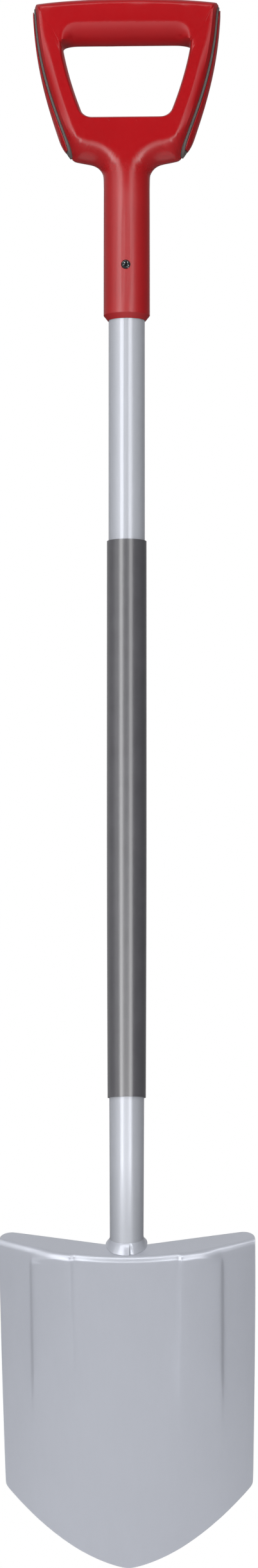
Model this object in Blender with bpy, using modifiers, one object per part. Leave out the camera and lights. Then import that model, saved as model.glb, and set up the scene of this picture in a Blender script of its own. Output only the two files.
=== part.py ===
"""A pointed digging spade: a steel blade on a tubular shaft, with a sleeve and a moulded D-grip.

The origin is under the middle of the grip bar, where a hook would hold the spade. The shaft hangs
down along -Z, +X is to the right across the tread, and the hollow of the blade faces +Y.
"""

from math import cos, exp, pi, radians, sin, sqrt, tan

import bmesh
import bpy
import numpy as np
from mathutils import Vector

# Clearances between pieces that touch on the real spade
SEAT_GAP = 0.0003
SHORT_GAP = 0.0002

# Grip and socket moulding, in the plane of X and Z
GRIP_HALF_DEPTH = 0.0178
GRIP_TOP = 0.0361
GRIP_SIDE_CURVE = ((0.0708, 0.0325), (0.0692, -0.0310), (0.0452, -0.0710), (0.0418, -0.0900))
GRIP_TOP_FILLET = 0.0024
GRIP_LOW_FILLET = 0.0035
TOP_ROUNDING = 0.0060
SIDE_ROUNDING = 0.0045
SIDE_BEVEL_WIDTH = 0.0085
SIDE_BEVEL_SLOPE = radians(16)
SIDE_BEVEL_TOP_Z = 0.0100
SIDE_BEVEL_FADE = 0.0350
BAR_HALF_LENGTH = 0.0420
BAR_END_BLEND = 2.4
WEB_END_Z = -0.0949
NECK_FILLET = 0.0115
OPENING_HALF_TOP = 0.0496
OPENING_HALF_LOW = 0.0332
OPENING_BOTTOM = -0.0567
OPENING_SIDE_BOW = 0.0011
OPENING_TOP_FILLET = 0.0025
OPENING_LOW_FILLET = 0.0090
OPENING_ROUNDING = 0.0030
SOCKET_LENGTH = 0.1193
MOUTH_Z = WEB_END_Z - SOCKET_LENGTH
MOUTH_CHAMFER_LENGTH = 0.0040
MOUTH_RADIUS = 0.0146

# Side inserts and caps: heights are out from the side of the grip, lengths are along it
INSERT_FLOOR = -0.0022
INSERT_HALF_WIDTH = 0.0108
INSERT_TOP_MARGIN = 0.0030
INSERT_LOW_MARGIN = 0.0020
INSERT_LOW_TAPER = 0.0200
INSERT_EDGE_TOP = 0.0000
INSERT_EDGE_MIDDLE = 0.0005
INSERT_EDGE_LOW = 0.0009
INSERT_EDGE_TOP_END = 0.30
INSERT_EDGE_LOW_START = 0.85
INSERT_EDGE_LOW_END = 0.97
INSERT_DOME = 0.0005
INSERT_FOOT_INSET = 0.0008
INSERT_FOOT_TOP = -0.0010
INSERT_LIP = 0.0033
INSERT_LIP_RAMP = 0.0006
INSERT_LIP_ROUND = 0.0120
CAP_HALF_WIDTH = 0.0096
CAP_TOP_MARGIN = 0.0056
CAP_LOW_MARGIN = 0.0082
CAP_EDGE = 0.0006
CAP_PROUD_TOP = 0.0016
CAP_PROUD_LOW = 0.0054
CAP_PROUD_POWER = 1.35
CAP_TOP_ROUND = 0.0040
CAP_LOW_ROUND = 0.0120
CAP_LOW_CUT = 0.0024
STRIP_EDGE_ROUND = 0.0005

# Shaft
TUBE_RADIUS = 0.01385
TUBE_FOOT_RADIUS = 0.0127
TUBE_WALL = 0.0015
TUBE_IN_SOCKET = 0.0892
TUBE_TOP_Z = MOUTH_Z + TUBE_IN_SOCKET
SLEEVE_TOP_Z = -0.3846
SLEEVE_LENGTH = 0.4248
SLEEVE_BOTTOM_Z = SLEEVE_TOP_Z - SLEEVE_LENGTH
SLEEVE_WALL = 0.0010
TAPER_START_Z = -0.6000
TAPER_POWER = 1.4

# Screw that holds the socket on the shaft
SCREW_FROM_MOUTH = 0.0408
SCREW_Z = MOUTH_Z + SCREW_FROM_MOUTH
SCREW_HEAD_RADIUS = 0.0033
SCREW_HEAD_HEIGHT = 0.0016
SCREW_HEAD_CROWN = 0.0006
SCREW_HEAD_CROWN_HEIGHT = 0.00035
SCREW_SINK = 0.0005
SCREW_SHANK_RADIUS = 0.0017
SCREW_LENGTH = 0.0100
SCREW_POINT = 0.0025
SCREW_POINT_RADIUS = 0.00035
CROSS_WIDTH = 0.0010
CROSS_REACH = 0.0020
CROSS_DEPTH = 0.0010

# Blade
SHEET = 0.0020
BEND_Y = -0.0193
BEND_Z = -0.9316
BEND_RADIUS = 0.0062
BEND_SHARE_OF_TREAD = 0.85
TREAD_SLOPE = radians(31.0)
LIFT = radians(13.0)
DISH_RADIUS = 0.1657
SHOULDER_HALF_WIDTH = 0.0966
LOW_HALF_WIDTH = 0.0936
SIDE_CURVE_POWER = 1.4
CORNER_FILLET = 0.0020
BLADE_LENGTH = 0.2313
TIP_Z = BEND_Z - BLADE_LENGTH
POINT_SLOPE = 0.194
POINT_CURVE = 5.22
POINT_ROUND = 0.0030
TREAD_EDGE_Y = -0.0042
TREAD_EDGE_SPLAY = 0.2406
TREAD_CORNER = 0.0120
TONGUE_MARGIN = 0.0026
FLUTE_INNER_TOP = 0.0386
FLUTE_INNER_LOW = 0.0345
FLUTE_OUTER_TOP = 0.0733
FLUTE_OUTER_LOW = 0.0726
FLUTE_SHOULDER_INNER = 0.0042
FLUTE_SHOULDER_OUTER = 0.0022
FLUTE_SHOULDER_TOP = 0.0085
FLUTE_RISE = 0.0020
FLUTE_FAN_WIDTH = 0.0260
FLUTE_FAN_LENGTH = 0.0150
FLUTE_LENGTH = 0.1250
FLUTE_END_Z = BEND_Z - FLUTE_LENGTH
FLUTE_FADE = 0.0550

# Weld round the foot of the tube
WELD_LEG_FRONT = 0.0034
WELD_LEG_SIDE = 0.0029
WELD_HEIGHT_FRONT = 0.0074
WELD_HEIGHT_SIDE = 0.0046
WELD_FULL_SIDE = 0.12
WELD_FULL_FRONT = 0.80
WELD_LUMPS = 7
WELD_LUMP_SHARE = 0.05
WELD_JOIN_ANGLE = radians(14.0)
WELD_JOIN_WIDTH = radians(3.6)
WELD_JOIN_DEPTH = 0.38
WELD_GAP = 0.0001

# Facets of the round pieces, and distances within which points merge
RING_STEPS = 48
SCREW_STEPS = 32
TAPER_STEPS = 4
SHARP_ANGLE = radians(35)
MERGE_DISTANCE = 1e-6
SEAM_MERGE_DISTANCE = 1e-5
MODIFIER_MERGE_DISTANCE = 1e-4

# Facets of the grip: the rim of its opening and its outside have as many points each
BAR_STATIONS = 8
RIM_TOP_STEPS = 4
RIM_ARM_STEPS = 7
RIM_LOW_STEPS = 8
RIM_WEB_STEPS = 6
TOP_CORNER_STEPS = 3
ARM_STEPS = 7
ARM_END_STEPS = 2
LOW_CORNER_STEPS = 2
WEB_STEPS = 4
NECK_STEPS = 5
SIDE_START = BAR_STATIONS + 1 + TOP_CORNER_STEPS
SIDE_END = SIDE_START + ARM_STEPS + ARM_END_STEPS
BAR_END_REACH = 1.08
ARM_END_FROM = 0.74
WEB_END_FROM = 0.75
WEB_RIM_END = 0.5
ROUNDING_STEPS = 5
ROUNDING_REACH = 1.12
LEAST_ROOM = 0.49
TRIAL_STEPS = 160
SEAM_STEPS = 8
SIDE_TABLE_STEPS = 128
SIDE_PROBE = 1e-4

# Facets of the inserts and caps
POCKET_REACH = 0.0060
STRIP_END_STEPS = 5
STRIP_MIDDLE_STEPS = 8
STRIP_SHARES = (0.96, 0.7, 0.35, 0.0)
CAP_FLOOR_SHARES = (0.5, 0.0)

# Facets of the blade and the weld
TREAD_ROWS = (1.0, 0.5, 0.0)
BEND_STEPS = 6
FACE_ROWS = ((0.0, 0.045, 4), (0.045, 0.66, 7), (0.66, 1.0, 3))
TONGUE_COLUMNS = 6
MIDDLE_COLUMNS = 5
FLUTE_RISE_COLUMNS = 3
FLUTE_COLUMNS = 4
FLUTE_FALL_COLUMNS = 2
OUTER_COLUMNS = 3
CORNER_COLUMNS = 7
BLADE_SHARP_ANGLE = radians(60)
WELD_STEPS = 4
WELD_JOIN_SHARES = (-1.5, -0.8, 0.0, 0.8, 1.5)


def clear_scene():
    for obj in list(bpy.data.objects):
        bpy.data.objects.remove(obj, do_unlink=True)


def new_collection(name):
    collection = bpy.data.collections.new(name)
    bpy.context.scene.collection.children.link(collection)
    return collection


def new_material(name, colour, roughness, metallic):
    material = bpy.data.materials.new(name)
    material.use_nodes = True
    shader = material.node_tree.nodes["Principled BSDF"]
    shader.inputs["Base Color"].default_value = (*colour, 1.0)
    shader.inputs["Roughness"].default_value = roughness
    shader.inputs["Metallic"].default_value = metallic
    return material


def place(name, bm, collection, material=None, sharp_angle=SHARP_ANGLE):
    """Ends a bmesh and links it as an object of this name."""
    bmesh.ops.remove_doubles(bm, verts=bm.verts, dist=MERGE_DISTANCE)
    mesh = bpy.data.meshes.new(name)
    bm.to_mesh(mesh)
    bm.free()
    mesh.shade_smooth()
    mesh.set_sharp_from_angle(angle=sharp_angle)
    obj = bpy.data.objects.new(name, mesh)
    collection.objects.link(obj)
    if material:
        mesh.materials.append(material)
    return obj


def place_cutter(name, bm, collection):
    bmesh.ops.recalc_face_normals(bm, faces=bm.faces)
    cutter = place(name, bm, collection)
    cutter.hide_render = True
    cutter.display_type = "WIRE"
    return cutter


def add_mirror(obj, axes):
    mirror = obj.modifiers.new("Mirror", "MIRROR")
    mirror.use_axis = axes
    mirror.merge_threshold = MODIFIER_MERGE_DISTANCE


def cut(obj, cutter, name):
    boolean = obj.modifiers.new(name, "BOOLEAN")
    boolean.operation = "DIFFERENCE"
    boolean.solver = "EXACT"
    boolean.object = cutter


def loft(bm, sections, closed, capped=False):
    """Quads between rows of as many points each, which it returns. A closed row ends where it began."""
    rows = [[bm.verts.new(point) for point in section] for section in sections]
    count = len(rows[0])
    for lower, upper in zip(rows, rows[1:]):
        for i in range(count if closed else count - 1):
            j = (i + 1) % count
            bm.faces.new((lower[i], lower[j], upper[j], upper[i]))
    if capped:
        bm.faces.new(list(reversed(rows[0])))
        bm.faces.new(rows[-1])
    return rows


def ring(radius, z, steps=RING_STEPS):
    turns = [2 * pi * i / steps for i in range(steps)]
    return [(radius * cos(a), radius * sin(a), z) for a in turns]


def quarter_rise(share):
    """Height of a quarter round at a share of its width, both from 0 to 1."""
    near = np.clip(1.0 - np.asarray(share), 0.0, 1.0)
    return np.sqrt(1.0 - near**2)


def smooth_step(share):
    share = np.clip(share, 0.0, 1.0)
    return share * share * (3.0 - 2.0 * share)


# Outlines of the grip, in the plane of X and Z


def line(start, end, steps):
    shares = np.linspace(0.0, 1.0, steps + 1)[:, None]
    return np.asarray(start) * (1 - shares) + np.asarray(end) * shares


def bowed(start, end, bow, steps):
    """Points on a shallow curve that stands out by bow, to the left of its direction."""
    start, end = np.asarray(start), np.asarray(end)
    along = end - start
    out = np.array([-along[1], along[0]]) / np.linalg.norm(along)
    shares = np.linspace(0.0, 1.0, steps + 1)[:, None]
    return start + along * shares + out * 4 * shares * (1 - shares) * bow


def fillet(before, corner, after, radius, steps):
    """Arc that rounds a corner between two straight runs."""
    before, corner, after = (np.asarray(p) for p in (before, corner, after))
    back = (before - corner) / np.linalg.norm(before - corner)
    ahead = (after - corner) / np.linalg.norm(after - corner)
    half = np.arccos(np.dot(back, ahead)) / 2
    middle = back + ahead
    centre = corner + middle / np.linalg.norm(middle) * radius / sin(half)
    start = corner + back * radius / tan(half) - centre
    end = corner + ahead * radius / tan(half) - centre
    sweep = pi - 2 * half
    shares = np.linspace(0.0, 1.0, steps + 1)[:, None]
    return centre + (start * np.sin((1 - shares) * sweep) + end * np.sin(shares * sweep)) / sin(sweep)


def side_table():
    """Points down the curved side of the grip, and how far along it each is."""
    t = np.linspace(0.0, 1.0, SIDE_TABLE_STEPS + 1)[:, None]
    a, b, c, d = (np.array(point) for point in GRIP_SIDE_CURVE)
    points = a * (1 - t) ** 3 + 3 * b * t * (1 - t) ** 2 + 3 * c * t**2 * (1 - t) + d * t**3
    steps = np.linalg.norm(np.diff(points, axis=0), axis=1)
    return points, np.concatenate([[0.0], np.cumsum(steps)])


def side_point(along):
    """Point on the side of the grip at a length along it, and the way out from there."""
    points, lengths = side_table()
    places = [along - SIDE_PROBE, along, along + SIDE_PROBE]
    (x0, x, x1), (z0, z, z1) = [np.interp(places, lengths, points[:, i]) for i in (0, 1)]
    out = np.array([z0 - z1, x1 - x0])
    return np.array([x, z]), out / np.linalg.norm(out)


def grip_side(first, last, steps):
    return np.array([side_point(along)[0] for along in np.linspace(first, last, steps + 1)])


def grip_top(first, last, steps):
    corner_x, corner_z = GRIP_SIDE_CURVE[0]
    x = np.linspace(first, last, steps + 1)
    return np.column_stack([x, GRIP_TOP - (GRIP_TOP - corner_z) * (x / corner_x) ** 2])


def join(*pieces):
    """One row of points from pieces that share their ends."""
    return np.vstack([pieces[0]] + [piece[1:] for piece in pieces[1:]])


def opening_rim():
    """Rim of the opening from its top middle to where the web takes over, for x above 0."""
    top = (OPENING_HALF_TOP, 0.0)
    low = (OPENING_HALF_LOW, OPENING_BOTTOM)
    upper = fillet((0.0, 0.0), top, low, OPENING_TOP_FILLET, RIM_TOP_STEPS)
    lower = fillet(top, low, (0.0, OPENING_BOTTOM), OPENING_LOW_FILLET, RIM_LOW_STEPS)
    return join(
        line((0.0, 0.0), upper[0], BAR_STATIONS),
        upper,
        bowed(upper[-1], lower[0], OPENING_SIDE_BOW, RIM_ARM_STEPS),
        lower,
        line(lower[-1], (GRIP_HALF_DEPTH * WEB_RIM_END, OPENING_BOTTOM), RIM_WEB_STEPS),
    )


def grip_outside():
    """Outside of the grip from its top middle to the socket, point for point with the rim."""
    top, low = np.array(GRIP_SIDE_CURVE[0]), np.array(GRIP_SIDE_CURVE[3])
    neck_corner = np.array([GRIP_HALF_DEPTH, WEB_END_Z])
    upper = fillet((0.0, GRIP_TOP), top, GRIP_SIDE_CURVE[1], GRIP_TOP_FILLET, TOP_CORNER_STEPS)
    lower = fillet(GRIP_SIDE_CURVE[2], low, neck_corner, GRIP_LOW_FILLET, LOW_CORNER_STEPS)
    neck = fillet(low, neck_corner, (GRIP_HALF_DEPTH, MOUTH_Z), NECK_FILLET, NECK_STEPS)
    bar_end = OPENING_HALF_TOP * BAR_END_REACH
    arm_end = side_length() * ARM_END_FROM
    corner_start = side_length() - np.linalg.norm(lower[0] - low)
    side = join(
        grip_side(GRIP_TOP_FILLET, arm_end, ARM_STEPS),
        grip_side(arm_end, corner_start, ARM_END_STEPS),
    )
    side[0], side[-1] = upper[-1], lower[0]
    web_turn = lower[-1] + (neck[0] - lower[-1]) * WEB_END_FROM
    return join(
        grip_top(0.0, bar_end, BAR_STATIONS),
        np.vstack([grip_top(bar_end, bar_end, 1)[:1], upper[:1]]),
        upper,
        side,
        lower,
        line(lower[-1], web_turn, WEB_STEPS),
        line(web_turn, neck[0], 1),
        neck,
    )


def distance(points, outline):
    """Distance of each point from the nearest stretch of an outline."""
    start, end = outline[:-1], outline[1:]
    along = end - start
    to = points[:, None, :] - start
    share = np.clip((to * along).sum(-1) / (along**2).sum(-1), 0.0, 1.0)
    return np.linalg.norm(to - along * share[..., None], axis=-1).min(axis=1)


def grip_depth(points, inner, outer):
    """Half depth of the moulding at points of the X-Z plane: flat, and rounded off at each edge."""
    rim = np.vstack([inner[BAR_STATIONS:], [(0.0, OPENING_BOTTOM)]])
    socket = np.vstack([outer[SIDE_END:], [(GRIP_HALF_DEPTH, MOUTH_Z)]])
    side = outer[SIDE_START : SIDE_END + 1]
    past_bar = np.maximum(points[:, 0] - BAR_HALF_LENGTH, 0.0) * BAR_END_BLEND
    from_bar = np.hypot(past_bar, points[:, 1])
    depth = GRIP_HALF_DEPTH * quarter_rise(from_bar / GRIP_HALF_DEPTH)
    for outline, rounding in (
        (rim, OPENING_ROUNDING),
        (outer[: SIDE_START + 1], TOP_ROUNDING),
        (side, SIDE_ROUNDING),
        (socket, GRIP_HALF_DEPTH),
    ):
        depth *= quarter_rise(distance(points, outline) / rounding)
    return depth * (1 - side_bevel(points, side) / GRIP_HALF_DEPTH)


def side_bevel(points, side):
    """Depth lost to the flat bevel that runs down the outer edge of each arm."""
    into = np.maximum(SIDE_BEVEL_WIDTH - distance(points, side), 0.0)
    fade = smooth_step((SIDE_BEVEL_TOP_Z - points[:, 1]) / SIDE_BEVEL_FADE)
    return into * tan(SIDE_BEVEL_SLOPE) * fade


def across_row(start, end, rim, outside, rim_round, outside_round):
    """Points across the moulding from its rim, crowded into the roundings at both ends."""
    shares = np.linspace(0.0, 1.0, TRIAL_STEPS + 1)
    trial = start + (end - start) * shares[:, None]
    from_rim = np.maximum.accumulate(distance(trial, rim))
    from_outside = np.maximum.accumulate(distance(trial[::-1], outside))
    crowd = 1 - np.cos(np.linspace(0, pi / 2, ROUNDING_STEPS + 1))
    crowd = np.append(crowd, ROUNDING_REACH)
    near = np.interp(crowd * rim_round, from_rim, shares)
    far = np.interp(crowd * outside_round, from_outside, shares)
    near *= min(1.0, LEAST_ROOM / near[-1])
    far *= min(1.0, LEAST_ROOM / far[-1])
    places = np.concatenate([near, 1 - far[::-1]])
    return start + (end - start) * places[:, None]


def grip_front():
    """Rows of points over a quarter of the grip: the part at the back with x above 0."""
    inner, outer = opening_rim(), grip_outside()
    stations = np.arange(len(inner))
    rim_round = np.interp(
        stations,
        [BAR_STATIONS, SIDE_START],
        [GRIP_HALF_DEPTH, OPENING_ROUNDING],
    )
    outside_round = np.interp(
        stations,
        [SIDE_START - 2, SIDE_START, SIDE_END - 2, SIDE_END + 4],
        [TOP_ROUNDING, SIDE_BEVEL_WIDTH, SIDE_BEVEL_WIDTH, GRIP_HALF_DEPTH],
    )
    rows = []
    for i in stations:
        rows.append(across_row(inner[i], outer[i], inner, outer, rim_round[i], outside_round[i]))
    seam = rows[-1]
    rows += [seam * (cos(a), 1.0) for a in np.linspace(0, pi / 2, SEAM_STEPS + 1)[1:]]
    flat = np.vstack(rows)
    points = np.column_stack([flat[:, 0], -grip_depth(flat, inner, outer), flat[:, 1]])
    return points.reshape(len(rows), len(seam), 3)


def socket_rows(start_z):
    """Quarter rings down the socket to its chamfered mouth, and in to the axis."""
    levels = (
        (start_z, GRIP_HALF_DEPTH),
        (MOUTH_Z + MOUTH_CHAMFER_LENGTH, GRIP_HALF_DEPTH),
        (MOUTH_Z, MOUTH_RADIUS),
        (MOUTH_Z, 0.0),
    )
    turns = np.linspace(0, pi / 2, SEAM_STEPS + 1)
    return [[(r * cos(a), -r * sin(a), z) for a in turns] for z, r in levels]


def build_grip(parts, cutters, material):
    bm = bmesh.new()
    rows = grip_front()
    loft(bm, rows[::-1], closed=False)
    loft(bm, socket_rows(rows[-1][-1][2]), closed=False)
    bmesh.ops.remove_doubles(bm, verts=bm.verts, dist=SEAM_MERGE_DISTANCE)
    grip = place("grip_body", bm, parts, material)
    add_mirror(grip, (True, True, False))
    cut(grip, insert_pocket(cutters), "Insert pockets")
    cut(grip, socket_bore(cutters), "Socket bore")
    cut(grip, screw_seat(cutters), "Screw seat")
    return grip


def side_length():
    return side_table()[1][-1]


def insert_end():
    return side_length() - INSERT_LOW_MARGIN


def cap_end():
    return side_length() - CAP_LOW_MARGIN


def strip_half(along, start, half_width, clearance=0.0):
    """Half width of a strip, which has a round top and narrows to the low end of the insert."""
    past_start = (along - start + clearance) / (half_width + clearance)
    to_end = (insert_end() + clearance - along) / INSERT_LOW_TAPER
    narrowed = (half_width + clearance) * quarter_rise(past_start) * quarter_rise(to_end)
    return max(float(narrowed), SEAT_GAP)


def insert_half(along, clearance=0.0):
    return strip_half(along, INSERT_TOP_MARGIN, INSERT_HALF_WIDTH, clearance)


def cap_half(along):
    return strip_half(along, CAP_TOP_MARGIN, CAP_HALF_WIDTH)


def strip_lengths(start, end, half_width, clearance=0.0):
    """Places along a strip for its sections, closer together at its ends and past the cap."""
    crowd = 1 - np.cos(np.linspace(0.0, pi / 2, STRIP_END_STEPS + 1))
    taper_end = insert_end() + clearance
    round_end = start + half_width
    middle = np.linspace(round_end, taper_end - INSERT_LOW_TAPER, STRIP_MIDDLE_STEPS + 1)[1:-1]
    taper = taper_end - INSERT_LOW_TAPER * crowd[::-1]
    lip = cap_end() + SEAT_GAP
    places = np.concatenate([start + half_width * crowd, middle, taper, [lip, lip + INSERT_LIP_RAMP]])
    places = np.unique(places[places < end - SEAT_GAP])
    return np.append(places, end)


def strip_section(along, half, floor, top, floor_shares=(), foot=None):
    """Closed section of a strip. Floor and top give heights at a distance from its middle line."""
    here, out = side_point(along)
    low, high = floor(along, half), top(along, half)
    soft = min(STRIP_EDGE_ROUND, 0.5 * (high - low))
    side = [(half, low), (half, high - soft)]
    if foot:
        inset, foot_top = foot
        side = [(half * inset, low), (half * inset, foot_top), (half, foot_top), (half, high - soft)]
    upper = [(half * share, top(along, half * share)) for share in STRIP_SHARES]
    lower = [(half * share, floor(along, half * share)) for share in reversed(floor_shares)]
    right = side + upper
    profile = [(-y, h) for y, h in right] + [(y, h) for y, h in reversed(right[:-1])]
    profile += [(y, h) for y, h in reversed(lower)] + [(-y, h) for y, h in lower[1:]]
    return [(here[0] + out[0] * h, y, here[1] + out[1] * h) for y, h in profile]


def insert_edge(along):
    """Height of the insert's edge, which grows over the top and again near the low end."""
    share = along / side_length()
    grown = smooth_step(share / INSERT_EDGE_TOP_END)
    past = smooth_step((share - INSERT_EDGE_LOW_START) / (INSERT_EDGE_LOW_END - INSERT_EDGE_LOW_START))
    middle = INSERT_EDGE_TOP + (INSERT_EDGE_MIDDLE - INSERT_EDGE_TOP) * grown
    return middle + (INSERT_EDGE_LOW - INSERT_EDGE_MIDDLE) * past


def insert_top(along, y):
    """Height of the insert: slightly domed under the cap, and a round lip past its low end."""
    bulge = 1 - min(y / insert_half(along), 1.0) ** 2
    past_cap = smooth_step((along - cap_end() - SEAT_GAP) / INSERT_LIP_RAMP)
    lip = INSERT_LIP * float(quarter_rise((insert_end() - along) / INSERT_LIP_ROUND))
    swell = INSERT_DOME * (1 - past_cap) + max(lip - insert_edge(along), 0.0) * past_cap
    return insert_edge(along) + bulge * swell


def cap_floor(along, y):
    return insert_top(along, y) + SEAT_GAP


def cap_top(along, y):
    """Height of the cap, which swells towards its low end and rounds off at both."""
    start, end = CAP_TOP_MARGIN, cap_end()
    share = (along - start) / (end - start)
    proud = CAP_PROUD_TOP + (CAP_PROUD_LOW - CAP_PROUD_TOP) * share**CAP_PROUD_POWER
    proud *= float(quarter_rise((along - start) / CAP_TOP_ROUND))
    proud *= float(quarter_rise((end + CAP_LOW_CUT - along) / CAP_LOW_ROUND))
    bulge = 1 - min(y / cap_half(along), 1.0) ** 2
    least = cap_floor(along, 0.0) + CAP_EDGE
    return cap_floor(along, y) + CAP_EDGE + bulge * max(proud - least, 0.0)


def insert_pocket(cutters):
    bm = bmesh.new()
    start = INSERT_TOP_MARGIN - SEAT_GAP
    half_width = INSERT_HALF_WIDTH + SEAT_GAP
    end = insert_end() + SEAT_GAP
    sections = [
        strip_section(
            along,
            insert_half(along, SEAT_GAP),
            lambda along, y: INSERT_FLOOR,
            lambda along, y: POCKET_REACH,
        )
        for along in strip_lengths(start, end, half_width, SEAT_GAP)
    ]
    loft(bm, sections, closed=True, capped=True)
    pocket = place_cutter("insert_pocket", bm, cutters)
    add_mirror(pocket, (True, False, False))
    return pocket


def insert_sections():
    """The insert steps in above the pocket's rim, which leaves a shadow line round it."""
    foot = (1 - INSERT_FOOT_INSET / INSERT_HALF_WIDTH, INSERT_FOOT_TOP)
    return [
        strip_section(
            along,
            insert_half(along),
            lambda along, y: INSERT_FLOOR + SEAT_GAP,
            insert_top,
            foot=foot,
        )
        for along in strip_lengths(INSERT_TOP_MARGIN, insert_end(), INSERT_HALF_WIDTH)
    ]


def cap_sections():
    return [
        strip_section(along, cap_half(along), cap_floor, cap_top, CAP_FLOOR_SHARES)
        for along in strip_lengths(CAP_TOP_MARGIN, cap_end(), CAP_HALF_WIDTH)
    ]


def build_strip(name, sections, side, parts, material):
    bm = bmesh.new()
    mirrored = [[(side * x, y, z) for x, y, z in section] for section in sections]
    loft(bm, mirrored, closed=True, capped=True)
    bmesh.ops.recalc_face_normals(bm, faces=bm.faces)
    return place(name, bm, parts, material)


def build_side_pieces(parts, insert_material, cap_material):
    for word, side in (("left", -1), ("right", 1)):
        build_strip("side_insert_" + word, insert_sections(), side, parts, insert_material)
        build_strip("side_cap_" + word, cap_sections(), side, parts, cap_material)


# Shaft, sleeve and screw


def tube_radius(z):
    share = np.clip((TAPER_START_Z - z) / (TAPER_START_Z - foot_plane(0.0)), 0.0, None)
    return TUBE_RADIUS - (TUBE_RADIUS - TUBE_FOOT_RADIUS) * share**TAPER_POWER


def foot_plane(y):
    """Height of the tread's plane at a place from front to back."""
    return BEND_Z + (y - BEND_Y) * tan(TREAD_SLOPE)


def turned_tube(name, levels, outer, inner, parts, material):
    """A tube round the Z axis from its profile, down its outer side and up its bore."""
    profile = [(outer(z), z) for z in levels] + [(inner(z), z) for z in reversed(levels)]
    mesh = bpy.data.meshes.new(name)
    count = len(profile)
    edges = [(i, (i + 1) % count) for i in range(count)]
    mesh.from_pydata([(r, 0.0, z) for r, z in profile], edges, [])
    mesh.materials.append(material)
    tube = bpy.data.objects.new(name, mesh)
    parts.objects.link(tube)
    screw = tube.modifiers.new("Turn", "SCREW")
    screw.steps = screw.render_steps = RING_STEPS
    screw.merge_threshold = MODIFIER_MERGE_DISTANCE
    screw.use_merge_vertices = True
    screw.use_smooth_shade = True
    return tube


def build_tube(parts, cutters, material):
    lowest = foot_plane(-TUBE_RADIUS) - SHEET
    levels = [TUBE_TOP_Z] + list(np.linspace(TAPER_START_Z, lowest, TAPER_STEPS + 1))
    tube = turned_tube(
        "shaft_tube",
        levels,
        tube_radius,
        lambda z: tube_radius(z) - TUBE_WALL,
        parts,
        material,
    )
    cut(tube, foot_mitre(cutters), "Mitred foot")
    cut(tube, screw_hole(cutters), "Screw hole")
    return tube


def foot_mitre(cutters):
    """Block under the tread's plane, which gives the foot of the tube its slope."""
    size = 8 * TUBE_RADIUS
    bm = bmesh.new()
    bmesh.ops.create_cube(bm, size=size)
    cutter = place_cutter("foot_mitre", bm, cutters)
    cutter.rotation_euler = (TREAD_SLOPE, 0.0, 0.0)
    down = Vector((0.0, sin(TREAD_SLOPE), -cos(TREAD_SLOPE)))
    on_plane = Vector((0.0, 0.0, foot_plane(0.0)))
    cutter.location = on_plane + down * (size / 2 - SEAT_GAP)
    return cutter


def build_sleeve(parts, material):
    levels = [SLEEVE_TOP_Z] + list(np.linspace(TAPER_START_Z, SLEEVE_BOTTOM_Z, TAPER_STEPS + 1))
    return turned_tube(
        "shaft_sleeve",
        levels,
        lambda z: tube_radius(z) + SEAT_GAP + SLEEVE_WALL,
        lambda z: tube_radius(z) + SEAT_GAP,
        parts,
        material,
    )


def drill(name, cutters, radii):
    """Cutter for round steps along Y: (from y, to y, radius) for each."""
    bm = bmesh.new()
    sections = []
    for start, end, radius in radii:
        for y in (start, end):
            sections.append([(x, y, SCREW_Z - z) for x, z, _ in ring(radius, 0.0, SCREW_STEPS)])
    loft(bm, sections, closed=True, capped=True)
    return place_cutter(name, bm, cutters)


def screw_seat(cutters):
    front = -GRIP_HALF_DEPTH
    floor = front + SCREW_SINK + SCREW_HEAD_HEIGHT + SHORT_GAP
    return drill(
        "screw_seat",
        cutters,
        (
            (2 * front, floor, SCREW_HEAD_RADIUS + SEAT_GAP),
            (floor, 0.0, SCREW_SHANK_RADIUS + SHORT_GAP),
        ),
    )


def screw_hole(cutters):
    return drill("screw_hole", cutters, ((-2 * TUBE_RADIUS, 0.0, SCREW_SHANK_RADIUS + SHORT_GAP),))


def socket_bore(cutters):
    radius = TUBE_RADIUS + SEAT_GAP
    bm = bmesh.new()
    sections = [ring(radius, MOUTH_Z - TUBE_RADIUS), ring(radius, TUBE_TOP_Z + SEAT_GAP)]
    loft(bm, sections, closed=True, capped=True)
    return place_cutter("socket_bore", bm, cutters)


def build_screw(parts, cutters, material):
    head = -GRIP_HALF_DEPTH + SCREW_SINK
    under = head + SCREW_HEAD_HEIGHT
    point = head + SCREW_LENGTH
    levels = (
        (head, SCREW_HEAD_RADIUS - SCREW_HEAD_CROWN),
        (head + SCREW_HEAD_CROWN_HEIGHT, SCREW_HEAD_RADIUS),
        (under, SCREW_HEAD_RADIUS),
        (under, SCREW_SHANK_RADIUS),
        (point - SCREW_POINT, SCREW_SHANK_RADIUS),
        (point, SCREW_POINT_RADIUS),
    )
    bm = bmesh.new()
    rings = [(y, ring(radius, 0.0, SCREW_STEPS)) for y, radius in levels]
    sections = [[(x, y, SCREW_Z - z) for x, z, _ in points] for y, points in rings]
    loft(bm, sections, closed=True, capped=True)
    bmesh.ops.recalc_face_normals(bm, faces=bm.faces)
    screw = place("grip_screw", bm, parts, material)
    for i, angle in enumerate((0.0, pi / 2)):
        bm = bmesh.new()
        bmesh.ops.create_cube(bm, size=1.0)
        bmesh.ops.scale(bm, vec=(2 * CROSS_REACH, 2 * CROSS_DEPTH, CROSS_WIDTH), verts=bm.verts)
        slot = place_cutter("cross_slot_%d" % i, bm, cutters)
        slot.location = (0.0, head, SCREW_Z)
        slot.rotation_euler = (0.0, angle, 0.0)
        cut(screw, slot, "Cross slot %d" % i)
    return screw


# Blade


def dish(x):
    return x * x / (2 * DISH_RADIUS)


def bend_line(x):
    """Y and Z of the corner where the face and the tread's plane meet."""
    back = dish(x) / (1 + tan(TREAD_SLOPE) * tan(LIFT))
    return np.array([BEND_Y + back, foot_plane(BEND_Y + back)])


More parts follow.
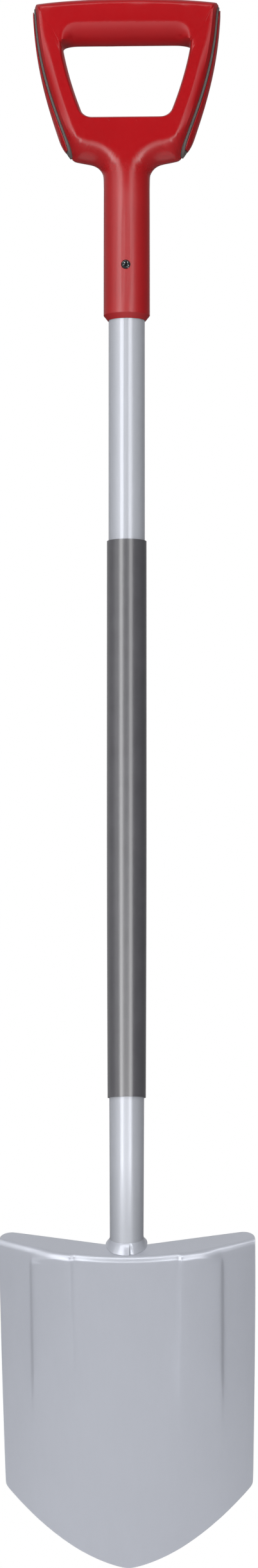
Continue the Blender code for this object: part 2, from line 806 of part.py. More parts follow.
def half_width(z):
    """Half width of the blade at a height below its shoulders."""
    share = np.clip((BEND_Z - z) / (BEND_Z - corner_z()), 0.0, 1.0)
    return SHOULDER_HALF_WIDTH - (SHOULDER_HALF_WIDTH - LOW_HALF_WIDTH) * share**SIDE_CURVE_POWER


def corner_z():
    return TIP_Z + POINT_SLOPE * LOW_HALF_WIDTH + POINT_CURVE * LOW_HALF_WIDTH**2


def point_edge(x):
    """Height of the blade's pointed end at a place across it, with its corners rounded."""
    from_tip = sqrt(x**2 + POINT_ROUND**2) - POINT_ROUND
    past = np.clip((x - (LOW_HALF_WIDTH - CORNER_FILLET)) / CORNER_FILLET, 0.0, 1.0)
    rounding = CORNER_FILLET * (1 - sqrt(1 - past**2))
    return TIP_Z + POINT_SLOPE * from_tip + POINT_CURVE * x**2 + rounding


def tread_edge_y(x):
    """Far edge of the tread: splayed, with round corners, and with a tongue behind the tube."""
    edge = TREAD_EDGE_Y + TREAD_EDGE_SPLAY * x
    past = np.clip((x - (SHOULDER_HALF_WIDTH - TREAD_CORNER)) / TREAD_CORNER, 0.0, 1.0)
    edge -= TREAD_CORNER * (1 - sqrt(1 - past**2))
    tongue = TUBE_FOOT_RADIUS + TONGUE_MARGIN
    if x < tongue:
        edge = max(edge, sqrt(tongue**2 - x**2))
    return edge


def flute_share(x, z, past_tread):
    """How far the pressed rib stands out, from 0 to 1, at a length of sheet past the flat tread.

    Its outer shoulder starts wide at the bend and soon narrows to a crisp line."""
    down = np.clip((BEND_Z - z) / (BEND_Z - FLUTE_END_Z), 0.0, 1.0)
    inner = FLUTE_INNER_TOP + (FLUTE_INNER_LOW - FLUTE_INNER_TOP) * down
    outer = FLUTE_OUTER_TOP + (FLUTE_OUTER_LOW - FLUTE_OUTER_TOP) * down
    fan = (FLUTE_FAN_WIDTH - FLUTE_SHOULDER_OUTER) * (1 - smooth_step(past_tread / FLUTE_FAN_LENGTH))
    rise = smooth_step((x - inner) / FLUTE_SHOULDER_INNER)
    fall = smooth_step((outer - x) / (FLUTE_SHOULDER_OUTER + fan))
    fade = smooth_step((z - FLUTE_END_Z) / FLUTE_FADE)
    return rise * fall * fade * smooth_step(past_tread / FLUTE_SHOULDER_TOP)


def blade_columns():
    """Places across half of the blade, closer together where its shape turns."""
    tongue = TUBE_FOOT_RADIUS + TONGUE_MARGIN
    flute = (FLUTE_INNER_TOP, FLUTE_INNER_TOP + FLUTE_SHOULDER_INNER)
    flute += (FLUTE_OUTER_TOP - FLUTE_SHOULDER_OUTER, FLUTE_OUTER_TOP)
    round_from = SHOULDER_HALF_WIDTH - TREAD_CORNER
    stops = [0.0, tongue, *flute, round_from]
    counts = [
        TONGUE_COLUMNS,
        MIDDLE_COLUMNS,
        FLUTE_RISE_COLUMNS,
        FLUTE_COLUMNS,
        FLUTE_FALL_COLUMNS,
        OUTER_COLUMNS,
    ]
    even = [line([a], [b], steps) for a, b, steps in zip(stops, stops[1:], counts)]
    corner = round_from + TREAD_CORNER * np.sin(np.linspace(0, pi / 2, CORNER_COLUMNS + 1))
    return join(*even, corner[:, None])[:, 0]


def blade_column(x_top):
    """Points from the tread's far edge over the bend and down to the point, at one place across."""
    corner = bend_line(x_top)
    back = np.array([cos(TREAD_SLOPE), sin(TREAD_SLOPE)])
    down = np.array([sin(LIFT), -cos(LIFT)])
    inward = np.array([sin(TREAD_SLOPE), -cos(TREAD_SLOPE)])
    turn = np.arccos(-np.dot(back, down))
    depth = (tread_edge_y(x_top) - corner[0]) / cos(TREAD_SLOPE)
    reach = min(BEND_RADIUS * tan(turn / 2), depth * BEND_SHARE_OF_TREAD)
    radius = reach / tan(turn / 2)
    centre = corner + back * reach + inward * radius
    points = []
    for share in TREAD_ROWS:
        y, z = corner + back * (reach + (depth - reach) * share)
        points.append((x_top, y, z))
    for angle in np.linspace(0.0, turn, BEND_STEPS + 1)[1:-1]:
        out = -inward * cos(angle) - back * sin(angle)
        lift = FLUTE_RISE * flute_share(x_top, BEND_Z, radius * angle)
        y, z = centre + out * (radius + lift)
        points.append((x_top, y, z))
    return points + face_points(x_top, corner + down * reach, radius * turn)


def face_points(x_top, start, past_tread):
    """Points down the face from the bend, narrowing with the blade."""
    share_across = x_top / SHOULDER_HALF_WIDTH
    end = point_edge(share_across * LOW_HALF_WIDTH)
    shares = join(*[line([low], [high], steps) for low, high, steps in FACE_ROWS])[:, 0]
    points = []
    for share in shares:
        z = start[1] + (end - start[1]) * share
        x = share_across * half_width(z)
        y = BEND_Y + dish(x) + (BEND_Z - z) * tan(LIFT)
        lift = FLUTE_RISE * flute_share(x, z, past_tread + (start[1] - z) / cos(LIFT))
        points.append((x, y - lift * cos(LIFT), z - lift * sin(LIFT)))
    return points


def sheet_section(x_top):
    """Closed section through the sheet: its back face, then its inner face on the way back."""
    back = np.array(blade_column(x_top))
    along = np.gradient(back[:, 1:], axis=0)
    along /= np.linalg.norm(along, axis=1)[:, None]
    inward = np.column_stack([-along[:, 1], along[:, 0]])
    slant = np.clip(along[:, 0] / sin(LIFT), 0.0, 1.0)
    thickness = SHEET * (1 + slant * (sqrt(1 + (x_top / DISH_RADIUS) ** 2) - 1))
    inner = back.copy()
    inner[:, 1:] += inward * thickness[:, None]
    return [tuple(point) for point in np.vstack([back, inner[::-1]])]


def build_blade(parts, material):
    bm = bmesh.new()
    rows = loft(bm, [sheet_section(x) for x in blade_columns()], closed=True)
    side = rows[-1]
    for i in range(len(side) // 2 - 1):
        bm.faces.new((side[i], side[i + 1], side[-2 - i], side[-1 - i]))
    blade = place("blade", bm, parts, material, BLADE_SHARP_ANGLE)
    add_mirror(blade, (True, False, False))


def weld_section(angle):
    """Section of the bead at a turn from the front of the tube: a hollow fillet, fuller in front,
    a little lumpy, and pinched where its two ends meet."""
    blend = ((1 + cos(angle)) / 2) ** 3
    join_share = (angle - WELD_JOIN_ANGLE) / WELD_JOIN_WIDTH
    size = 1 + WELD_LUMP_SHARE * sin(WELD_LUMPS * angle) - WELD_JOIN_DEPTH * exp(-(join_share**2))
    leg = (WELD_LEG_SIDE + (WELD_LEG_FRONT - WELD_LEG_SIDE) * blend) * size
    height = WELD_HEIGHT_SIDE + (WELD_HEIGHT_FRONT - WELD_HEIGHT_SIDE) * blend
    fullness = WELD_FULL_SIDE + (WELD_FULL_FRONT - WELD_FULL_SIDE) * blend
    profile = [(0.0, 0.0), (1.0, 0.0)]
    for turn in np.linspace(0.0, pi / 2, WELD_STEPS + 1):
        hollow = (1 - sin(turn), 1 - cos(turn))
        round_out = (cos(turn), sin(turn))
        profile.append([h + (r - h) * fullness for h, r in zip(hollow, round_out)])
    points = []
    for out, up in profile:
        lift = WELD_GAP + height * up
        y = -(TUBE_FOOT_RADIUS + leg * out) * cos(angle)
        z = foot_plane(y) + lift
        radius = tube_radius(z) + WELD_GAP + leg * out
        points.append((radius * sin(angle), -radius * cos(angle), z))
    return points


def build_weld(parts, material):
    turns = [2 * pi * i / RING_STEPS for i in range(RING_STEPS)]
    pinch = [WELD_JOIN_ANGLE + WELD_JOIN_WIDTH * share for share in WELD_JOIN_SHARES]
    clear = [angle for angle in turns if not pinch[0] < angle < pinch[-1]]
    sections = [weld_section(angle) for angle in sorted(clear + pinch)]
    bm = bmesh.new()
    loft(bm, sections + sections[:1], closed=True)
    bmesh.ops.remove_doubles(bm, verts=bm.verts, dist=MERGE_DISTANCE)
    bmesh.ops.recalc_face_normals(bm, faces=bm.faces)
    return place("weld_bead", bm, parts, material)


def build_spade():
    clear_scene()
    parts = new_collection("pointed_spade")
    cutters = new_collection("cutters")
    red = new_material("grip_plastic", (0.41, 0.011, 0.014), 0.42, 0.0)
    cap_red = new_material("cap_plastic", (0.43, 0.012, 0.015), 0.45, 0.0)
    grey = new_material("insert_rubber", (0.17, 0.15, 0.145), 0.6, 0.0)
    steel = new_material("shaft_steel", (0.47, 0.49, 0.53), 0.32, 1.0)
    sleeve = new_material("sleeve_plastic", (0.065, 0.065, 0.07), 0.4, 0.0)
    blade = new_material("blade_steel", (0.42, 0.43, 0.47), 0.45, 1.0)
    weld = new_material("weld_steel", (0.6, 0.61, 0.64), 0.28, 1.0)
    black = new_material("screw_steel", (0.012, 0.012, 0.013), 0.35, 0.6)
    build_grip(parts, cutters, red)
    build_side_pieces(parts, grey, cap_red)
    build_screw(parts, cutters, black)
    build_tube(parts, cutters, steel)
    build_sleeve(parts, sleeve)
    build_blade(parts, blade)
    build_weld(parts, weld)


build_spade()
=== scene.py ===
"""A pointed digging spade hanging in a plain white studio: finishes, light, floor and camera."""

from math import cos, pi, radians, sin

import bmesh
import bpy
from mathutils import Matrix, Vector


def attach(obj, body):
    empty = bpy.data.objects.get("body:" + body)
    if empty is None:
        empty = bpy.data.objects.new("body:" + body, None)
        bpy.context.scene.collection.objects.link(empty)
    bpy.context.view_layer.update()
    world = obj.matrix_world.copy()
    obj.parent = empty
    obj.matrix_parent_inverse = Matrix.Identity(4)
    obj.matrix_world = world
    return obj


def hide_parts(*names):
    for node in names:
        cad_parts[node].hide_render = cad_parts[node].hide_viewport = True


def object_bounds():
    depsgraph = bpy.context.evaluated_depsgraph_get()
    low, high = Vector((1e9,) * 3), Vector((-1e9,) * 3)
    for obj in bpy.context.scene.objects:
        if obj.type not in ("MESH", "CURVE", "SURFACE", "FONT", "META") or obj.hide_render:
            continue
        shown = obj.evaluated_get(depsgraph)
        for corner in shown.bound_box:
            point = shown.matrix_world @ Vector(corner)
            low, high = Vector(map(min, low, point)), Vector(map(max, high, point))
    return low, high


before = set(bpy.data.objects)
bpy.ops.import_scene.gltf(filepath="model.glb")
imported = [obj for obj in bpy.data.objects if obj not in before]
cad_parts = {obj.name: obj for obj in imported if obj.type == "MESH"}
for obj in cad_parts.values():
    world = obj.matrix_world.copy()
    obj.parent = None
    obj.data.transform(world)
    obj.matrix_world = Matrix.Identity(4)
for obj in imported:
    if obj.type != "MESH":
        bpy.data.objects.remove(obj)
CAD_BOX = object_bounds()

# The photograph's frame and where it was taken from, in the spade's own frame
PHOTO_HEIGHT_PX = 2446
METRES_PER_PX = 0.487e-3
CAMERA_DISTANCE = 5.5
CAMERA_YAW = radians(2.5)
CAMERA_LOOK_UP = radians(6.5)
CAMERA_PLACE = (0.2401, -5.4594, -1.1934)
CAMERA_REACH = 100.0
SENSOR_LONG_SIDE = 36.0

# Fine surfaces: edges turned more than the crisp angle stay crisp, and the rest is rounded off
SAME_POINT = 1e-6
CRISP_ANGLE = radians(38)
FLAT_ANGLE = radians(9)
SQUARE_ANGLE = radians(70)
EASING_SHARE = 0.5
EASING_PASSES = 8

# Colours, linear
WHITE = (1.0, 1.0, 1.0)
RED = (0.312, 0.0019, 0.0046)
RED_DEEP = (0.290, 0.0017, 0.0040)
CAP_RED = (0.310, 0.0026, 0.0058)
INSERT_GREY = (0.085, 0.072, 0.068)
SCREW_BLACK = (0.010, 0.010, 0.011)
PAINTED_GLINT_GREY = (0.55, 0.56, 0.58)
TUBE_SILVER = (0.435, 0.451, 0.495)
SLEEVE_GREY = (0.068, 0.067, 0.075)
BLADE_SILVER = (0.440, 0.458, 0.513)
SPECK_GREY = (0.12, 0.12, 0.13)
FLOOR_WHITE = (0.86, 0.86, 0.86)

# Shares from the low end of a range to its high end
NONE_TO_ALL = (0.0, 1.0)
ALL_TO_NONE = (1.0, 0.0)

# Noise levels between which a shade or a roughness builds up
NOISE_CORE = (0.35, 0.68)
NOISE_UPPER = (0.35, 0.70)
NOISE_WIDE = (0.30, 0.70)
SCUFF_PEAKS = (0.68, 0.80)
GLINT_PEAKS = (0.60, 0.66)

# Red plastic: rougher on its socket and on the upper curves that hands rub. Its gloss is at the
# stronger level on the socket and on the lower curves, and at the weaker one elsewhere
PLASTIC_ROUGHNESS = (0.22, 0.26)
WEAK_GLOSS = 0.30
STRONG_GLOSS = 0.75
SOCKET_HEIGHTS = (-0.12, -0.09)
SOCKET_ROUGHENING = 0.13
UPPER_CURVE_HEIGHTS = (-0.075, -0.050)
HAND_ROUGHENING = 0.22
FLAT_FACING = (0.93, 0.99)
SCUFF_STRETCH = (1.0, 1.0, 0.16)
SCUFF_SHARE = 0.12
SCUFF_TINT = 1.25
SCUFF_WHITENING = 0.012

# Grey inserts, the screw and the sleeve
INSERT_ROUGHNESS = (0.55, 0.72)
DUST_TINT = 1.25
SCREW_ROUGHNESS = (0.14, 0.30)
SLEEVE_ROUGHNESS = (0.28, 0.31)
LINE_STRETCH = (1.0, 1.0, 0.012)
BLOOM_TINT = 1.18

# Silver paint: on the tube it is darker and rougher by the weld
PAINT_ROUGHNESS = (0.28, 0.31)
FLAKE_CONTRAST = 0.025
STREAK_STRETCH = (1.0, 1.0, 0.035)
STREAK_SHARE = 0.5
STREAK_TINT = 1.03
CLOUD_SHARE = 0.45
CLOUD_TINT = 0.96
SPECK_SIZES = (0.006, 0.012)
SPECK_SHARE = 0.35
TUBE_FOOT_HEIGHTS = (-0.91, -0.86)
TUBE_FOOT_DARKENING = 0.4
FOOT_TINT = 0.6
FOOT_ROUGHENING = 0.45

# What the softboxes face
MIDDLE = (0.0, 0.0, -0.55)
LOWER_MIDDLE = (0.0, 0.0, -0.6)

# The surroundings: parts of a direction, and how bright they are there in what mirrors them
FRONT_Y = (-0.9, -0.3)
FRONT_LEVELS = (0.035, 0.28)
BEHIND_Y = (0.3, 0.8)
BEHIND_LEVELS = (0.0, 0.15)
OVERHEAD_Y_PLUS_Z = (1.0, 1.35)
OVERHEAD_LEVELS = (0.0, 0.65)
HIGH_FRONT_Y = (-0.25, 0.0)
HIGH_FRONT_Z = (0.24, 0.42)
HIGH_FRONT_LEVELS = (0.0, 0.7)
SIDEWAYS_X = (-0.8, 0.8)
SIDEWAYS_SHARES = (1.0, 0.35)
FILL_LEVEL = 0.24

# The floor, by distance from under the spade: its glow in what mirrors it, and how white it is made
FLOOR_SIZE = 40.0
FLOOR_GAP = 0.09
GLOW_REACH = (0.5, 0.9)
GLOW_LEVELS = (0.6, 0.06)
GLOW_SHARE = 0.9
WHITE_REACH = (1.0, 5.0)
WHITE_SHARES = (0.6, 1.0)


def opaque(colour):
    """A colour with its alpha added. A node's output is left as it is."""
    return (*colour, 1.0) if isinstance(colour, tuple) else colour


def tinted(colour, factor, whitening=0.0):
    return tuple(min(1.0, part * factor + whitening) for part in colour)


class Nodes:
    """Short calls that add nodes to one node tree."""

    def __init__(self, tree):
        self.tree = tree

    def add(self, kind, values=(), **settings):
        node = self.tree.nodes.new(kind)
        for key, value in settings.items():
            setattr(node, key, value)
        for socket, value in dict(values).items():
            if isinstance(value, bpy.types.NodeSocket):
                self.tree.links.new(value, node.inputs[socket])
            else:
                node.inputs[socket].default_value = value
        return node

    def math(self, operation, first, second=0.0):
        return self.add("ShaderNodeMath", {0: first, 1: second}, operation=operation).outputs[0]

    def spread(self, value, source, target=NONE_TO_ALL):
        """Maps a value from one range to another, held at both ends."""
        values = {0: value, 1: source[0], 2: source[1], 3: target[0], 4: target[1]}
        return self.add("ShaderNodeMapRange", values, clamp=True).outputs[0]

    def blend(self, factor, first, second):
        return self.add("ShaderNodeMix", {0: factor, 2: first, 3: second}).outputs[0]

    def colours(self, factor, first, second):
        values = {0: factor, 6: opaque(first), 7: opaque(second)}
        return self.add("ShaderNodeMix", values, data_type="RGBA").outputs[2]

    def noise(self, place, scale, detail=3.0, roughness=0.5, stretch=None):
        if stretch:
            place = self.add("ShaderNodeMapping", {0: place, 3: stretch}).outputs[0]
        values = {"Vector": place, "Scale": scale, "Detail": detail, "Roughness": roughness}
        return self.add("ShaderNodeTexNoise", values).outputs[0]

    def grain(self, place, scale):
        values = {"Vector": place, "Scale": scale}
        return self.add("ShaderNodeTexVoronoi", values, feature="F1").outputs[0]

    def bump(self, height, distance, strength, before=None):
        values = {"Height": height, "Distance": distance, "Strength": strength}
        if before is not None:
            values["Normal"] = before
        return self.add("ShaderNodeBump", values).outputs[0]

    def background(self, strength):
        return self.add("ShaderNodeBackground", {0: opaque(WHITE), 1: strength}).outputs[0]

    def shaders(self, factor, first, second):
        return self.add("ShaderNodeMixShader", {0: factor, 1: first, 2: second}).outputs[0]

    def place(self):
        return self.add("ShaderNodeTexCoord").outputs["Object"]

    def parts(self, vector):
        return self.add("ShaderNodeSeparateXYZ", {0: vector}).outputs

    def rays(self):
        """Whether a ray comes from the camera, and whether it comes from a mirroring surface."""
        path = self.add("ShaderNodeLightPath").outputs
        mirrored = self.math("MAXIMUM", path["Is Glossy Ray"], path["Is Transmission Ray"])
        return path["Is Camera Ray"], mirrored


def socket_name(word):
    return word.replace("_", " ").title().replace("Ior", "IOR")


def new_finish(name, **constants):
    """A material with its shader's constant values set. Returns it with its nodes and shader."""
    material = bpy.data.materials.new(name)
    material.use_nodes = True
    shader = material.node_tree.nodes["Principled BSDF"]
    for word, value in constants.items():
        shader.inputs[socket_name(word)].default_value = value
    return material, Nodes(material.node_tree), shader


def wire(nodes, shader, **links):
    for word, value in links.items():
        nodes.tree.links.new(value, shader.inputs[socket_name(word)])


# Finishes


def grip_wear(nodes, place):
    """How much rougher the red plastic is at a place, and how glossy it is there."""
    height = nodes.parts(place)["Z"]
    normal = nodes.add("ShaderNodeNewGeometry").outputs["Normal"]
    flatness = nodes.math("ABSOLUTE", nodes.parts(normal)["Y"])
    curved = nodes.spread(flatness, FLAT_FACING, ALL_TO_NONE)
    on_socket = nodes.spread(height, SOCKET_HEIGHTS, ALL_TO_NONE)
    upper_curves = nodes.math("MULTIPLY", curved, nodes.spread(height, UPPER_CURVE_HEIGHTS))
    lower_curves = nodes.math("MULTIPLY", curved, nodes.spread(height, UPPER_CURVE_HEIGHTS, ALL_TO_NONE))
    socket_rough = nodes.spread(height, SOCKET_HEIGHTS, (SOCKET_ROUGHENING, 0.0))
    hand_rough = nodes.math("MULTIPLY", upper_curves, HAND_ROUGHENING)
    roughened = nodes.math("MAXIMUM", socket_rough, hand_rough)
    glossy = nodes.math("MAXIMUM", lower_curves, on_socket)
    return roughened, nodes.spread(glossy, NONE_TO_ALL, (WEAK_GLOSS, STRONG_GLOSS))


def red_plastic(name, colour):
    """Satin moulded plastic: fine spark-eroded grain, faint flow shades and a few light scuffs."""
    material, nodes, shader = new_finish(name, metallic=0.0)
    place = nodes.place()
    flow = nodes.noise(place, scale=22.0)
    mottle = nodes.noise(place, scale=420.0, detail=2.0)
    pits = nodes.grain(place, scale=1500.0)
    scuffs = nodes.noise(place, scale=90.0, detail=5.0, roughness=0.7, stretch=SCUFF_STRETCH)
    base = nodes.colours(nodes.spread(flow, NOISE_CORE), colour, RED_DEEP)
    scuffed = nodes.spread(scuffs, SCUFF_PEAKS, (0.0, SCUFF_SHARE))
    base = nodes.colours(scuffed, base, tinted(colour, SCUFF_TINT, SCUFF_WHITENING))
    roughened, gloss = grip_wear(nodes, place)
    rough = nodes.math("ADD", nodes.spread(mottle, NOISE_WIDE, PLASTIC_ROUGHNESS), roughened)
    normal = nodes.bump(pits, distance=0.00003, strength=0.10)
    normal = nodes.bump(mottle, distance=0.00004, strength=0.12, before=normal)
    wire(nodes, shader, base_color=base, roughness=rough, specular_ior_level=gloss, normal=normal)
    return material


def insert_rubber():
    """Matt warm grey rubber with a dusty grain."""
    material, nodes, shader = new_finish("insert_rubber", specular_ior_level=0.3, metallic=0.0)
    dust = nodes.noise(nodes.place(), scale=700.0, detail=4.0, roughness=0.6)
    base = nodes.colours(nodes.spread(dust, NOISE_UPPER), INSERT_GREY, tinted(INSERT_GREY, DUST_TINT))
    rough = nodes.spread(dust, NOISE_WIDE, INSERT_ROUGHNESS)
    normal = nodes.bump(dust, distance=0.0001, strength=0.4)
    wire(nodes, shader, base_color=base, roughness=rough, normal=normal)
    return material


def screw_black():
    """Blackened steel, rubbed by a driver, with light patches painted on as glints."""
    material, nodes, shader = new_finish("screw_black", metallic=0.0, specular_ior_level=0.25)
    rubs_and_glints = nodes.noise(nodes.place(), scale=900.0, detail=2.0, roughness=0.6)
    # Painted glints: light grey patches of base colour stand in for highlights on the head
    base = nodes.colours(nodes.spread(rubs_and_glints, GLINT_PEAKS), SCREW_BLACK, PAINTED_GLINT_GREY)
    rough = nodes.spread(rubs_and_glints, NOISE_WIDE, SCREW_ROUGHNESS)
    normal = nodes.bump(rubs_and_glints, distance=0.00008, strength=0.5)
    wire(nodes, shader, base_color=base, roughness=rough, normal=normal)
    return material


def silver_paint(name, colour, metallic, foot_darkening=0.0):
    """Silver lacquer over steel: metal flakes, orange peel, drawn streaks and a few dark specks."""
    material, nodes, shader = new_finish(name, metallic=metallic, specular_ior_level=0.5)
    place = nodes.place()
    flakes = nodes.noise(place, scale=2600.0, detail=2.0, roughness=0.6)
    streaks = nodes.noise(place, scale=160.0, detail=4.0, roughness=0.6, stretch=STREAK_STRETCH)
    clouds = nodes.noise(place, scale=11.0)
    peel = nodes.noise(place, scale=480.0, detail=2.0)
    specks = nodes.grain(place, scale=52.0)
    dimmest = tinted(colour, 1.0 - FLAKE_CONTRAST)
    brightest = tinted(colour, 1.0 + FLAKE_CONTRAST)
    base = nodes.colours(nodes.spread(flakes, NOISE_CORE), dimmest, brightest)
    streaked = nodes.spread(streaks, NOISE_UPPER, (0.0, STREAK_SHARE))
    base = nodes.colours(streaked, base, tinted(colour, STREAK_TINT))
    clouded = nodes.spread(clouds, NOISE_UPPER, (0.0, CLOUD_SHARE))
    base = nodes.colours(clouded, base, tinted(colour, CLOUD_TINT))
    # Darker and rougher towards the foot of the tube, by the weld
    near_foot = nodes.spread(nodes.parts(place)["Z"], TUBE_FOOT_HEIGHTS, (foot_darkening, 0.0))
    base = nodes.colours(near_foot, base, tinted(colour, FOOT_TINT))
    speckled = nodes.spread(specks, SPECK_SIZES, (SPECK_SHARE, 0.0))
    base = nodes.colours(speckled, base, SPECK_GREY)
    roughened = nodes.math("MULTIPLY", near_foot, FOOT_ROUGHENING)
    rough = nodes.math("ADD", nodes.spread(streaks, NOISE_WIDE, PAINT_ROUGHNESS), roughened)
    normal = nodes.bump(flakes, distance=0.00002, strength=0.05)
    normal = nodes.bump(peel, distance=0.00005, strength=0.06, before=normal)
    wire(nodes, shader, base_color=base, roughness=rough, normal=normal)
    return material


def sleeve_plastic():
    """Dark extruded plastic: fine lines along the shaft and a dusty bloom."""
    material, nodes, shader = new_finish(
        "sleeve_plastic", specular_ior_level=1.0, metallic=0.0, coat_weight=0.6, coat_roughness=0.24
    )
    place = nodes.place()
    lines = nodes.noise(place, scale=900.0, roughness=0.6, stretch=LINE_STRETCH)
    bloom = nodes.noise(place, scale=60.0, detail=4.0, roughness=0.6)
    dimples = nodes.noise(place, scale=1400.0, detail=2.0)
    base = nodes.colours(nodes.spread(bloom, NOISE_UPPER), SLEEVE_GREY, tinted(SLEEVE_GREY, BLOOM_TINT))
    rough = nodes.spread(bloom, NOISE_WIDE, SLEEVE_ROUGHNESS)
    normal = nodes.bump(lines, distance=0.00003, strength=0.20)
    normal = nodes.bump(dimples, distance=0.00003, strength=0.15, before=normal)
    wire(nodes, shader, base_color=base, roughness=rough, normal=normal)
    return material


# Fine surfaces over the solids


def joined_mesh(name):
    """A solid's facets joined back into four-sided faces, with its sharp edges marked as crisp."""
    bm = bmesh.new()
    bm.from_mesh(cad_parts[name].data)
    bmesh.ops.remove_doubles(bm, verts=bm.verts, dist=SAME_POINT)
    bmesh.ops.join_triangles(
        bm, faces=bm.faces, angle_face_threshold=FLAT_ANGLE, angle_shape_threshold=SQUARE_ANGLE
    )
    crease = bm.edges.layers.float.new("crease_edge")
    for edge in bm.edges:
        if edge.calc_face_angle(0.0) > CRISP_ANGLE:
            edge[crease] = 1.0
            edge.smooth = False
    mesh = bpy.data.meshes.new(name + "_surface")
    bm.to_mesh(mesh)
    bm.free()
    for face in mesh.polygons:
        face.use_smooth = True
    return mesh


def ease_blends(piece):
    """Smooths the small ridges of a moulding's blends, away from its crisp edges."""
    mesh = piece.data
    crisp = {vertex for edge in mesh.edges if edge.use_edge_sharp for vertex in edge.vertices}
    soft = piece.vertex_groups.new(name="soft")
    soft.add([vertex.index for vertex in mesh.vertices if vertex.index not in crisp], 1.0, "REPLACE")
    easing = piece.modifiers.new("Easing", "SMOOTH")
    easing.factor = EASING_SHARE
    easing.iterations = EASING_PASSES
    easing.vertex_group = soft.name
    evening = piece.modifiers.new("Evening", "WEIGHTED_NORMAL")
    evening.keep_sharp = True


def fine_surface(name, material, levels, eased=False):
    """A piece that stands for a solid, with the solid's curves rounded off smoothly."""
    piece = bpy.data.objects.new(name + "_surface", joined_mesh(name))
    bpy.context.scene.collection.objects.link(piece)
    rounding = piece.modifiers.new("Rounding", "SUBSURF")
    rounding.levels = levels
    rounding.render_levels = levels
    if eased:
        ease_blends(piece)
    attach(piece, "root")
    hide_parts(name)
    piece.data.materials.append(material)


def finish_nodes():
    """Gives every solid its fine surface and its finish."""
    red = red_plastic("grip_plastic", RED)
    cap = red_plastic("cap_plastic", CAP_RED)
    grey = insert_rubber()
    blade = silver_paint("blade_paint", BLADE_SILVER, metallic=0.30)
    tube = silver_paint("tube_paint", TUBE_SILVER, metallic=0.25, foot_darkening=TUBE_FOOT_DARKENING)
    fine_surface("grip_body", red, levels=2, eased=True)
    fine_surface("side_cap_left", cap, levels=2)
    fine_surface("side_cap_right", cap, levels=2)
    fine_surface("side_insert_left", grey, levels=1)
    fine_surface("side_insert_right", grey, levels=1)
    fine_surface("grip_screw", screw_black(), levels=1)
    fine_surface("shaft_tube", tube, levels=1)
    fine_surface("shaft_sleeve", sleeve_plastic(), levels=1)
    fine_surface("weld_bead", blade, levels=2)
    fine_surface("blade", blade, levels=2)


# Studio


def look_at(place, target):
    """Matrix of an object at a place whose -Z axis points at a target."""
    turn = (Vector(target) - Vector(place)).to_track_quat("-Z", "Y")
    return Matrix.Translation(place) @ turn.to_matrix().to_4x4()


def add_softbox(name, place, target, width, height, radiance, mirrored=True):
    """A lamp of an even brightness, which the camera doesn't see."""
    lamp = bpy.data.lights.new(name, "AREA")
    lamp.shape = "RECTANGLE"
    lamp.size = width
    lamp.size_y = height
    lamp.energy = radiance * pi * width * height
    box = bpy.data.objects.new(name, lamp)
    bpy.context.scene.collection.objects.link(box)
    box.matrix_world = look_at(place, target)
    box.visible_camera = False
    box.visible_glossy = mirrored


def add_lights():
    """Tall softboxes on both sides, broad ones above and low in front, and one behind."""
    add_softbox("left_softbox", (-1.995, -3.386, 0.2), MIDDLE, width=1.45, height=4.0, radiance=3.9)
    add_softbox("left_fill_softbox", (-3.4, -1.96, 0.1), MIDDLE, width=1.7, height=3.6, radiance=0.6)
    add_softbox("right_softbox", (1.72, -3.53, 0.2), MIDDLE, width=1.2, height=4.0, radiance=2.9)
    add_softbox("top_softbox", (0.0, -1.5, 1.2), MIDDLE, width=3.0, height=0.4, radiance=5.8)
    add_softbox("low_softbox", (0.0, -2.6, -1.0), LOWER_MIDDLE, width=4.0, height=0.35, radiance=3.3)
    add_softbox("low_fill_softbox", (0.0, -2.9, -0.6), LOWER_MIDDLE, width=4.0, height=0.5, radiance=1.9)
    add_softbox(
        "back_softbox", (0.8, 3.6, 0.4), MIDDLE, width=3.2, height=3.2, radiance=2.4, mirrored=False
    )


def levels_around(nodes):
    """How bright the surroundings are by direction: in what mirrors them, and as a fill."""
    x, y, z = nodes.parts(nodes.add("ShaderNodeTexCoord").outputs["Generated"])
    front = nodes.spread(y, FRONT_Y, FRONT_LEVELS)
    behind = nodes.spread(y, BEHIND_Y, BEHIND_LEVELS)
    overhead = nodes.spread(nodes.math("ADD", y, z), OVERHEAD_Y_PLUS_Z, OVERHEAD_LEVELS)
    frontward = nodes.spread(y, HIGH_FRONT_Y, ALL_TO_NONE)
    high_front = nodes.math("MULTIPLY", nodes.spread(z, HIGH_FRONT_Z, HIGH_FRONT_LEVELS), frontward)
    around = nodes.math("ADD", nodes.math("ADD", front, behind), nodes.math("ADD", overhead, high_front))
    sideways = nodes.spread(x, SIDEWAYS_X, SIDEWAYS_SHARES)
    return nodes.math("MULTIPLY", around, sideways), nodes.math("MULTIPLY", sideways, FILL_LEVEL)


def add_world():
    """White to the camera, a dim fill to matt surfaces, and brighter parts to what mirrors it."""
    world = bpy.data.worlds.new("studio")
    bpy.context.scene.world = world
    world.use_nodes = True
    world.node_tree.nodes.clear()
    nodes = Nodes(world.node_tree)
    from_camera, mirrored = nodes.rays()
    reflected, fill = levels_around(nodes)
    lit = nodes.shaders(mirrored, nodes.background(fill), nodes.background(reflected))
    shown = nodes.shaders(from_camera, lit, nodes.background(1.0))
    nodes.add("ShaderNodeOutputWorld", {0: shown})


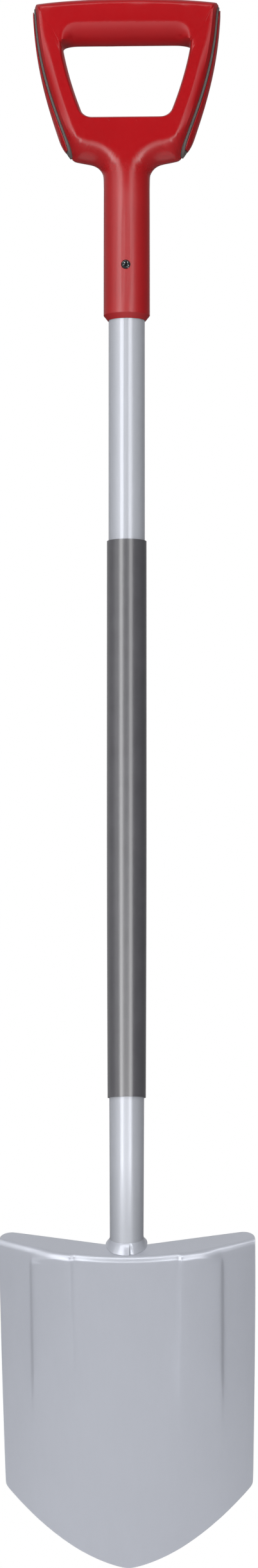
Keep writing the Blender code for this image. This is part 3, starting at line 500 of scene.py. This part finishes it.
def floor_white():
    """Pale and matt: nearly white to the camera apart from shadows, and glowing in what mirrors it."""
    material, nodes, shader = new_finish(
        "floor_white", base_color=opaque(FLOOR_WHITE), roughness=0.85, specular_ior_level=0.1
    )
    from_camera, mirrored = nodes.rays()
    away = nodes.add("ShaderNodeVectorMath", {0: nodes.place()}, operation="LENGTH").outputs["Value"]
    strength = nodes.blend(mirrored, 1.0, nodes.spread(away, GLOW_REACH, GLOW_LEVELS))
    glow = nodes.add("ShaderNodeEmission", {0: opaque(WHITE), 1: strength})
    whiteness = nodes.spread(away, WHITE_REACH, WHITE_SHARES)
    share = nodes.math("MAXIMUM", whiteness, nodes.math("MULTIPLY", mirrored, GLOW_SHARE))
    share = nodes.math("MULTIPLY", nodes.math("MAXIMUM", from_camera, mirrored), share)
    mixed = nodes.shaders(share, shader.outputs[0], glow.outputs[0])
    output = nodes.tree.nodes["Material Output"]
    nodes.tree.links.new(mixed, output.inputs["Surface"])
    return material


def add_floor():
    """A floor a hand's width under the tip."""
    bpy.ops.mesh.primitive_plane_add(size=FLOOR_SIZE, location=(0.0, 0.0, CAD_BOX[0].z - FLOOR_GAP))
    floor = bpy.context.object
    floor.name = "floor"
    floor.data.materials.append(floor_white())


def add_camera():
    """The photograph's camera: a long lens, low down and a little to the right, looking up."""
    level = cos(CAMERA_LOOK_UP)
    forward = Vector((-sin(CAMERA_YAW) * level, cos(CAMERA_YAW) * level, sin(CAMERA_LOOK_UP)))
    right = Vector((cos(CAMERA_YAW), sin(CAMERA_YAW), 0.0))
    up = right.cross(forward)
    data = bpy.data.cameras.new("camera")
    data.sensor_width = SENSOR_LONG_SIDE
    data.lens = SENSOR_LONG_SIDE * CAMERA_DISTANCE / METRES_PER_PX / PHOTO_HEIGHT_PX
    data.clip_end = CAMERA_REACH
    camera = bpy.data.objects.new("camera", data)
    bpy.context.scene.collection.objects.link(camera)
    turn = Matrix((right, up, -forward)).transposed().to_4x4()
    camera.matrix_world = Matrix.Translation(CAMERA_PLACE) @ turn
    bpy.context.scene.camera = camera


add_camera()
add_world()
add_lights()
add_floor()
finish_nodes()
bpy.context.scene.view_settings.view_transform = "Standard"
